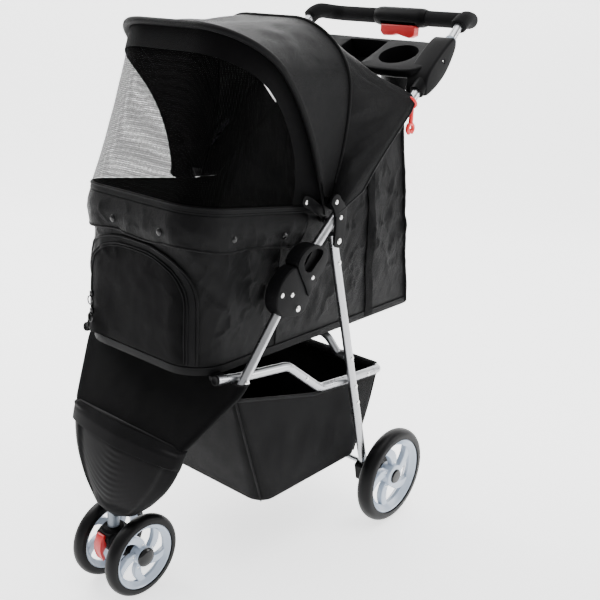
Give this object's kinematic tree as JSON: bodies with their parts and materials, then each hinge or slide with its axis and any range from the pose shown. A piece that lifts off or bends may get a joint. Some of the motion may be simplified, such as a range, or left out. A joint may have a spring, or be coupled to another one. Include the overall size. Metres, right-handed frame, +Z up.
{
  "type": "pet stroller",
  "caption": "Folding three-wheel pet stroller with a zipped fabric cabin, hooded canopy, storage basket, swivel front caster, foam push handle and cup tray.",
  "frame": {"origin": "on the floor under the middle of the whole stroller", "axes": "+Z up from the floor, -Y towards the front caster, +X towards the stroller's own left side"},
  "size_m": [0.446, 0.8076, 0.9735],
  "materials": {
    "steel_tube": "satin",
    "grey_tube": "semi gloss",
    "rivet_steel": "polished",
    "black_plastic": "fine grained",
    "red_plastic": "satin",
    "hook_plastic": "satin",
    "rim_plastic": "glossy",
    "tyre_foam": "satin",
    "grip_foam": "matte foam",
    "polyester": "woven, slight sheen",
    "mesh": "open knit",
    "pad_fabric": "brushed",
    "board": "matte"
  },
  "bodies": {
    "front_frame": {"front_leg_left": "steel_tube", "front_leg_right": "steel_tube", "lock_housing_left": "black_plastic", "lock_housing_right": "black_plastic", "fold_pin_left": "rivet_steel", "fold_pin_right": "rivet_steel", "seat_pin_left": "rivet_steel", "seat_pin_right": "rivet_steel", "footrest": "black_plastic", "leg_panel": "polyester", "caster_stem": "grey_tube"},
    "caster": {"caster_housing": "black_plastic", "front_axle": "rivet_steel"},
    "swivel_lock": {"swivel_lock_lever": "red_plastic"},
    "front_wheel_left": {"front_left_tyre": "tyre_foam", "front_left_rim": "rim_plastic"},
    "front_wheel_right": {"front_right_tyre": "tyre_foam", "front_right_rim": "rim_plastic"},
    "handle_frame": {"upper_tube_left": "steel_tube", "upper_tube_right": "steel_tube", "hinge_knuckle_left": "black_plastic", "hinge_knuckle_right": "black_plastic", "pivot_bracket_left": "black_plastic", "pivot_bracket_right": "black_plastic", "leg_pin_left": "rivet_steel", "leg_pin_right": "rivet_steel", "handle_bar": "steel_tube", "foam_grip_left": "grip_foam", "foam_grip_right": "grip_foam", "release_housing": "black_plastic", "cup_tray": "black_plastic"},
    "trigger": {"release_trigger": "red_plastic"},
    "latch_left": {"latch_collar_left": "black_plastic"},
    "latch_right": {"latch_collar_right": "black_plastic"},
    "hook": {"transport_hook": "hook_plastic"},
    "rear_frame": {"rear_leg_left": "steel_tube", "rear_leg_right": "steel_tube", "axle_housing_left": "black_plastic", "axle_housing_right": "black_plastic", "rear_axle": "steel_tube", "cross_brace": "steel_tube"},
    "brake_left": {"brake_pedal_left": "black_plastic"},
    "brake_right": {"brake_pedal_right": "black_plastic"},
    "rear_wheel_left": {"rear_left_tyre": "tyre_foam", "rear_left_rim": "rim_plastic"},
    "rear_wheel_right": {"rear_right_tyre": "tyre_foam", "rear_right_rim": "rim_plastic"},
    "cabin_frame": {"seat_rail_left": "steel_tube", "seat_rail_right": "steel_tube", "basket_cross_bar": "steel_tube", "basket": "polyester", "cabin": "polyester", "floor_board": "board", "floor_pad": "pad_fabric", "canopy_rear": "polyester", "rear_bow": "black_plastic"},
    "canopy_bow": {"front_bow": "black_plastic", "canopy_hood": "polyester", "mesh_window": "mesh"},
    "door": {"front_door": "polyester"}
  },
  "joints": [
    {"name": "fold", "type": "hinge", "parent": "front_frame", "child": "handle_frame", "pos_m": [0, -0.12775, 0.508], "axis": [-1, 0, 0], "range_deg": [0, 50]},
    {"name": "cabin_fold", "type": "hinge", "parent": "front_frame", "child": "cabin_frame", "pos_m": [0, -0.23575, 0.408], "axis": [-1, 0, 0], "range_deg": [0, 27]},
    {"name": "rear_leg_fold", "type": "hinge", "parent": "handle_frame", "child": "rear_frame", "pos_m": [0, -0.02775, 0.603], "axis": [1, 0, 0], "range_deg": [0, 29]},
    {"name": "caster_swivel", "type": "hinge", "parent": "front_frame", "child": "caster", "pos_m": [0, -0.35475, 0.1], "axis": [0, 0, 1], "continuous": true},
    {"name": "swivel_lock", "type": "hinge", "parent": "caster", "child": "swivel_lock", "pos_m": [0, -0.37705, 0.114], "axis": [-1, 0, 0], "range_deg": [0, 18]},
    {"name": "front_left_spin", "type": "hinge", "parent": "caster", "child": "front_wheel_left", "pos_m": [0.043, -0.33075, 0.073], "axis": [1, 0, 0], "continuous": true},
    {"name": "front_right_spin", "type": "hinge", "parent": "caster", "child": "front_wheel_right", "pos_m": [-0.043, -0.33075, 0.073], "axis": [1, 0, 0], "continuous": true},
    {"name": "rear_left_spin", "type": "hinge", "parent": "rear_frame", "child": "rear_wheel_left", "pos_m": [0.2075, 0.16625, 0.095], "axis": [1, 0, 0], "continuous": true},
    {"name": "rear_right_spin", "type": "hinge", "parent": "rear_frame", "child": "rear_wheel_right", "pos_m": [-0.2075, 0.16625, 0.095], "axis": [1, 0, 0], "continuous": true},
    {"name": "brake_left_press", "type": "hinge", "parent": "rear_frame", "child": "brake_left", "pos_m": [0.1784, 0.18425, 0.097], "axis": [-1, 0, 0], "range_deg": [0, 25]},
    {"name": "brake_right_press", "type": "hinge", "parent": "rear_frame", "child": "brake_right", "pos_m": [-0.1784, 0.18425, 0.097], "axis": [-1, 0, 0], "range_deg": [0, 25]},
    {"name": "trigger_pull", "type": "slide", "parent": "handle_frame", "child": "trigger", "axis": [0, 0, 1], "range_m": [0, 0.004], "stiffness_N_per_m": 800, "springref_m": -0.002},
    {"name": "latch_left_slide", "type": "slide", "parent": "handle_frame", "child": "latch_left", "axis": [0, 0.7431, 0.6691], "range_m": [0, 0.014]},
    {"name": "latch_right_slide", "type": "slide", "parent": "handle_frame", "child": "latch_right", "axis": [0, 0.7431, 0.6691], "range_m": [0, 0.014]},
    {"name": "canopy_turn", "type": "hinge", "parent": "cabin_frame", "child": "canopy_bow", "pos_m": [0, -0.02575, 0.633], "axis": [-1, 0, 0], "range_deg": [0, 35], "deforming": ["canopy_hood"]},
    {"name": "door_drop", "type": "hinge", "parent": "cabin_frame", "child": "door", "pos_m": [0, -0.30425, 0.436], "axis": [1, 0, 0], "range_deg": [0, 85]},
    {"name": "hook_swing", "type": "hinge", "parent": "handle_frame", "child": "hook", "pos_m": [0.1784, 0.16864, 0.81847], "axis": [0, 0.7431, 0.6691], "range_deg": [-30, 30]}
  ],
  "couplings": [
    {"joint": "cabin_fold", "follows": "fold", "ratio": 0.531},
    {"joint": "rear_leg_fold", "follows": "fold", "ratio": 0.577},
    {"joint": "latch_left_slide", "follows": "trigger_pull", "ratio": 3.5},
    {"joint": "latch_right_slide", "follows": "trigger_pull", "ratio": 3.5}
  ]
}
